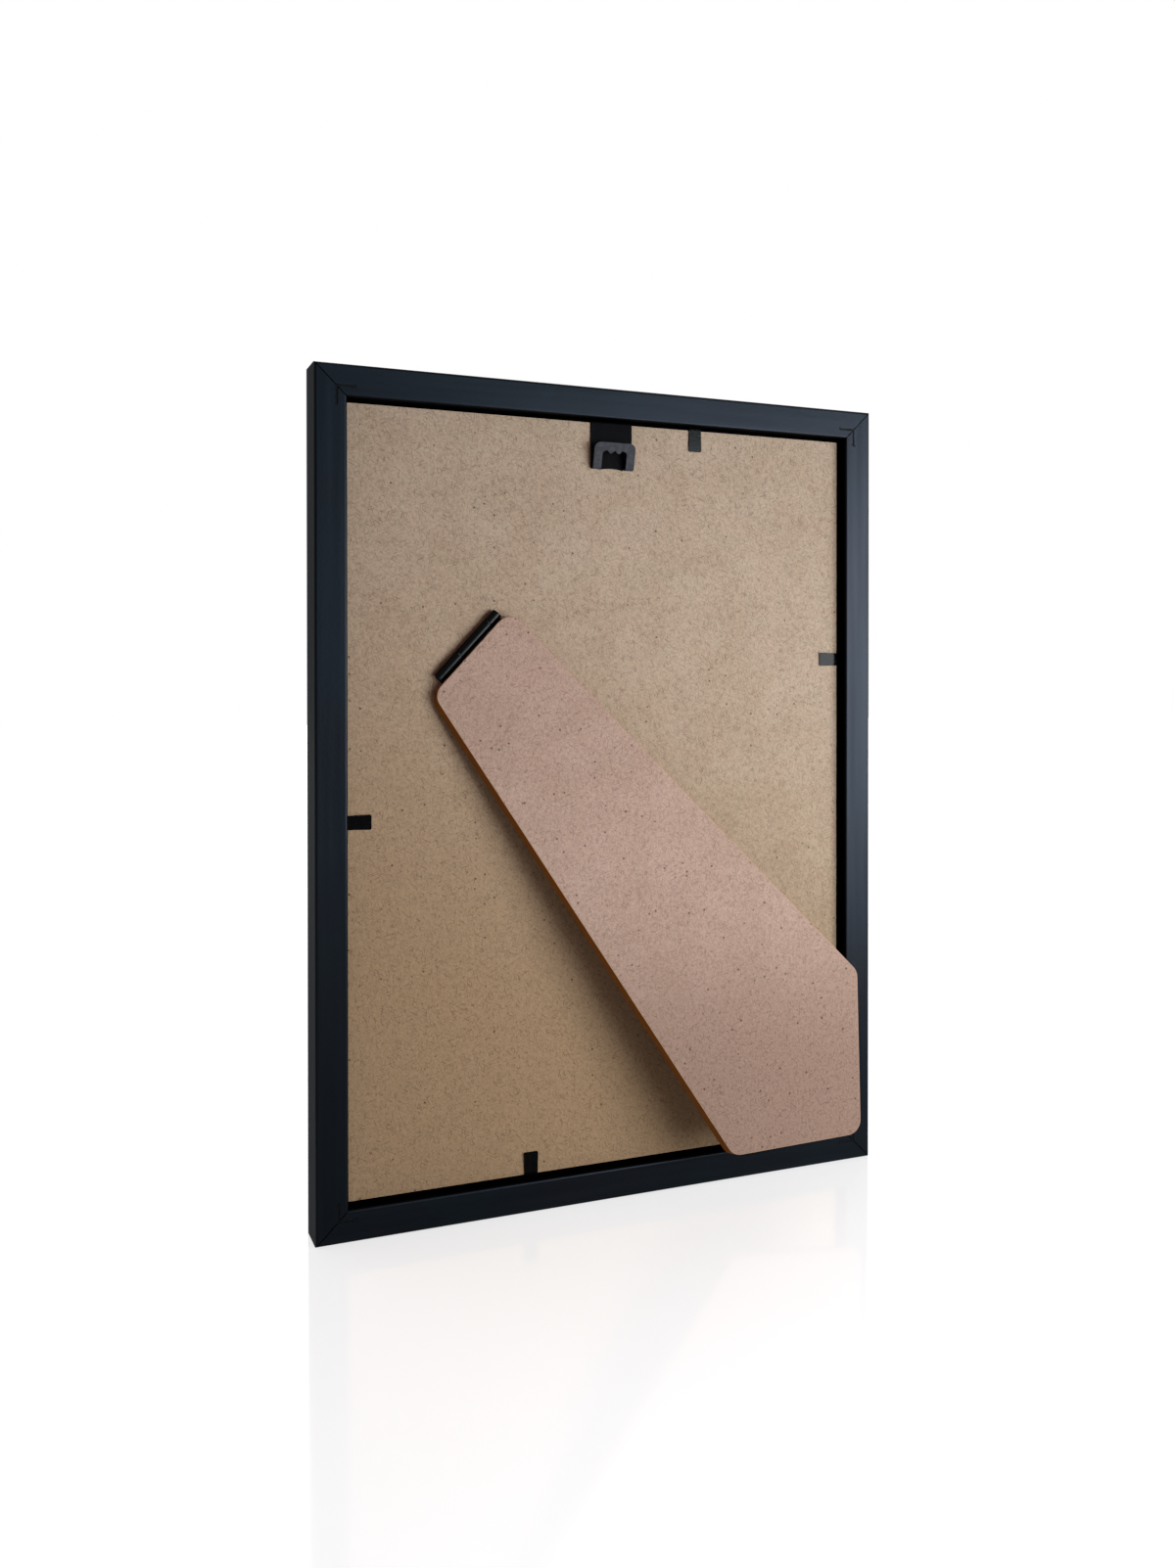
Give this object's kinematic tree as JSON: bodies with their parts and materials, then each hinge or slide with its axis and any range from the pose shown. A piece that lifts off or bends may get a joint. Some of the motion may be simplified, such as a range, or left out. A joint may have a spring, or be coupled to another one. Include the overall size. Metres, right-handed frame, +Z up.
{
  "type": "easel back photo frame",
  "caption": "Portrait frame of mitred black rails round a pane, a sheet and a hardboard back with a hinged strut leg, bendable retainer tabs and a folded sawtooth hanger.",
  "frame": {"origin": "centre of the frame's bottom face, midway through its depth", "axes": "+Z up the frame's height, +Y out of its back where the leg opens, X along its width"},
  "size_m": [0.236, 0.0496, 0.323],
  "materials": {
    "black_moulding": "satin black lacquer over wood moulding",
    "nail_steel": "dull driven edge",
    "clear_glass": "polished clear",
    "insert_paper": "plain matte paper",
    "hardboard_back": "matte pressed hardboard",
    "hardboard_leg": "matte pressed hardboard, brown cut edges",
    "black_hanger_steel": "satin black enamel",
    "black_hinge_steel": "gloss black enamel",
    "pin_steel": "drawn wire",
    "black_tab_steel": "satin black enamel"
  },
  "bodies": {
    "frame": {"rail_top": "black_moulding", "rail_right": "black_moulding", "rail_bottom": "black_moulding", "rail_left": "black_moulding", "v_nail_top_right": "nail_steel", "v_nail_top_left": "nail_steel", "v_nail_bottom_left": "nail_steel", "v_nail_bottom_right": "nail_steel", "glass": "clear_glass", "insert_sheet": "insert_paper", "backboard": "hardboard_back", "hanger": "black_hanger_steel", "hinge_board_leaf": "black_hinge_steel", "hinge_pin": "pin_steel", "tab_shank_top": "black_tab_steel", "tab_shank_right": "black_tab_steel", "tab_shank_bottom": "black_tab_steel", "tab_shank_left": "black_tab_steel"},
    "leg": {"easel_leg": "hardboard_leg", "hinge_leg_leaf": "black_hinge_steel"},
    "tab_top": {"retainer_tab_top": "black_tab_steel"},
    "tab_right": {"retainer_tab_right": "black_tab_steel"},
    "tab_bottom": {"retainer_tab_bottom": "black_tab_steel"},
    "tab_left": {"retainer_tab_left": "black_tab_steel"}
  },
  "joints": [
    {"name": "leg_hinge", "type": "hinge", "parent": "frame", "child": "leg", "pos_m": [0.05974, 0.00465, 0.22034], "axis": [0.6769, 0, -0.7361], "range_deg": [-8, 24]},
    {"name": "tab_bend_top", "type": "hinge", "parent": "frame", "child": "tab_top", "pos_m": [-0.03705, 0.0029, 0.31034], "axis": [1, 0, 0], "range_deg": [0, 90]},
    {"name": "tab_bend_right", "type": "hinge", "parent": "frame", "child": "tab_right", "pos_m": [-0.10534, 0.0029, 0.21609], "axis": [0, 0, 1], "range_deg": [0, 90]},
    {"name": "tab_bend_bottom", "type": "hinge", "parent": "frame", "child": "tab_bottom", "pos_m": [0.03398, 0.0029, 0.01266], "axis": [-1, 0, 0], "range_deg": [0, 90]},
    {"name": "tab_bend_left", "type": "hinge", "parent": "frame", "child": "tab_left", "pos_m": [0.10534, 0.0029, 0.15407], "axis": [0, 0, -1], "range_deg": [0, 90]}
  ]
}
